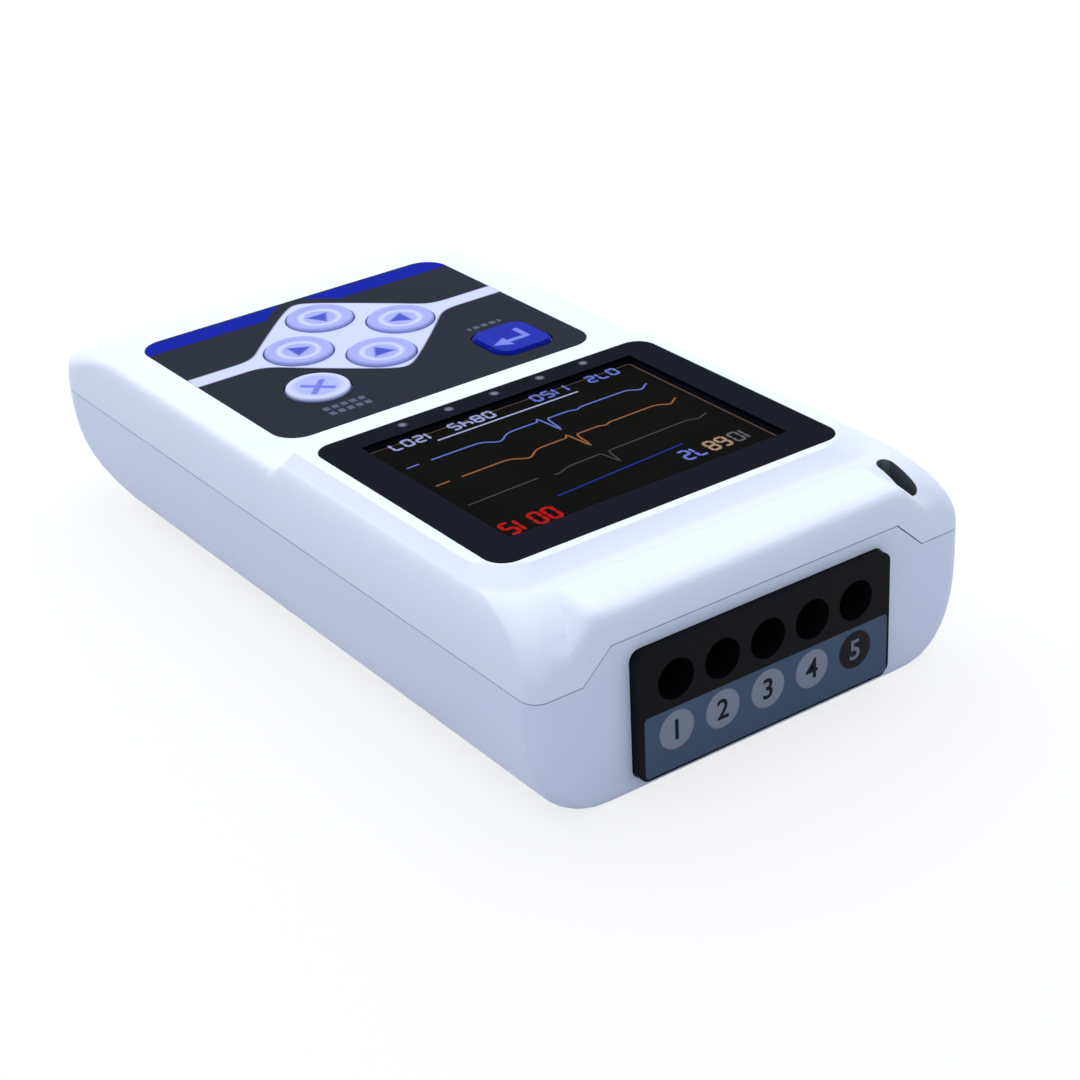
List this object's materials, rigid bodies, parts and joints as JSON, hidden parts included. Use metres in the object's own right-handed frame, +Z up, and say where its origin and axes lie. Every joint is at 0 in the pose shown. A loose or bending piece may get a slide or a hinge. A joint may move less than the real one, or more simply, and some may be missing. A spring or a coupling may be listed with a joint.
{
  "type": "ecg machine",
  "caption": "Handheld ambulatory ECG recorder: sloped two-part case, display window, keypad with arrow keys, touch-proof lead sockets under an arched brow, sliding battery door.",
  "frame": {"origin": "centre of the bounding box at the underside, in metres", "axes": "Z up through the display; the lead sockets face -Y and the rounded nose is at +Y, with the keypad between nose and display; the data port and the strap eye are on the +X side"},
  "size_m": [0.0716, 0.131, 0.0285],
  "materials": {
    "upper_case": "fine moulded grain, off-white",
    "lower_case": "fine moulded grain, pale blue grey",
    "window": "clear, smooth, printed black around the picture",
    "black_print": "matt black film",
    "lcd": "smooth black",
    "steel_sheet": "bright stamped sheet",
    "ribbon": "amber film",
    "light": "frosted, pale",
    "overlay": "printed film, satin",
    "key_pale": "satin, pale lavender",
    "key_blue": "satin, deep blue",
    "board": "green solder mask",
    "black_plastic": "moulded, satin black",
    "label": "printed film, slate blue",
    "contact": "plated, bright",
    "tray": "moulded, plain",
    "cell_can": "wrapped can, plain",
    "screw": "zinc plated"
  },
  "bodies": {
    "case": {"top_shell": "upper_case", "bottom_shell": "lower_case", "display_window": "window", "window_tape": "black_print", "lcd_panel": "lcd", "lcd_frame": "steel_sheet", "display_flex": "ribbon", "indicator_lights": "light", "keypad_overlay": "overlay", "key_switches": "black_plastic", "main_board": "board", "board_chips": "black_plastic", "clock_cell": "steel_sheet", "sounder": "black_plastic", "socket_block": "black_plastic", "socket_body": "black_plastic", "socket_label": "label", "contact_pins": "contact", "lead_board": "board", "board_link": "black_plastic", "usb_receptacle": "steel_sheet", "usb_tongue": "black_plastic", "battery_tray": "tray", "cell_left": "cell_can", "cell_right": "cell_can", "battery_springs": "steel_sheet", "battery_plates": "steel_sheet", "case_screws": "screw", "board_screws": "screw"},
    "key_up": {"key_up": "key_pale"},
    "key_down": {"key_down": "key_pale"},
    "key_left": {"key_left": "key_pale"},
    "key_right": {"key_right": "key_pale"},
    "key_cancel": {"key_cancel": "key_pale"},
    "key_enter": {"key_enter": "key_blue"},
    "battery_door": {"battery_door": "lower_case"}
  },
  "joints": [
    {"name": "key_up_press", "type": "slide", "parent": "case", "child": "key_up", "axis": [0, 0, -1], "range_m": [0, 0.0005], "stiffness_N_per_m": 1500},
    {"name": "key_down_press", "type": "slide", "parent": "case", "child": "key_down", "axis": [0, 0, -1], "range_m": [0, 0.0005], "stiffness_N_per_m": 1500},
    {"name": "key_left_press", "type": "slide", "parent": "case", "child": "key_left", "axis": [0, 0, -1], "range_m": [0, 0.0005], "stiffness_N_per_m": 1500},
    {"name": "key_right_press", "type": "slide", "parent": "case", "child": "key_right", "axis": [0, 0, -1], "range_m": [0, 0.0005], "stiffness_N_per_m": 1500},
    {"name": "key_cancel_press", "type": "slide", "parent": "case", "child": "key_cancel", "axis": [0, 0, -1], "range_m": [0, 0.0005], "stiffness_N_per_m": 1500},
    {"name": "key_enter_press", "type": "slide", "parent": "case", "child": "key_enter", "axis": [0, 0, -1], "range_m": [0, 0.0005], "stiffness_N_per_m": 1500},
    {"name": "battery_door_slide", "type": "slide", "parent": "case", "child": "battery_door", "axis": [0, 1, 0], "range_m": [0, 0.095]}
  ]
}
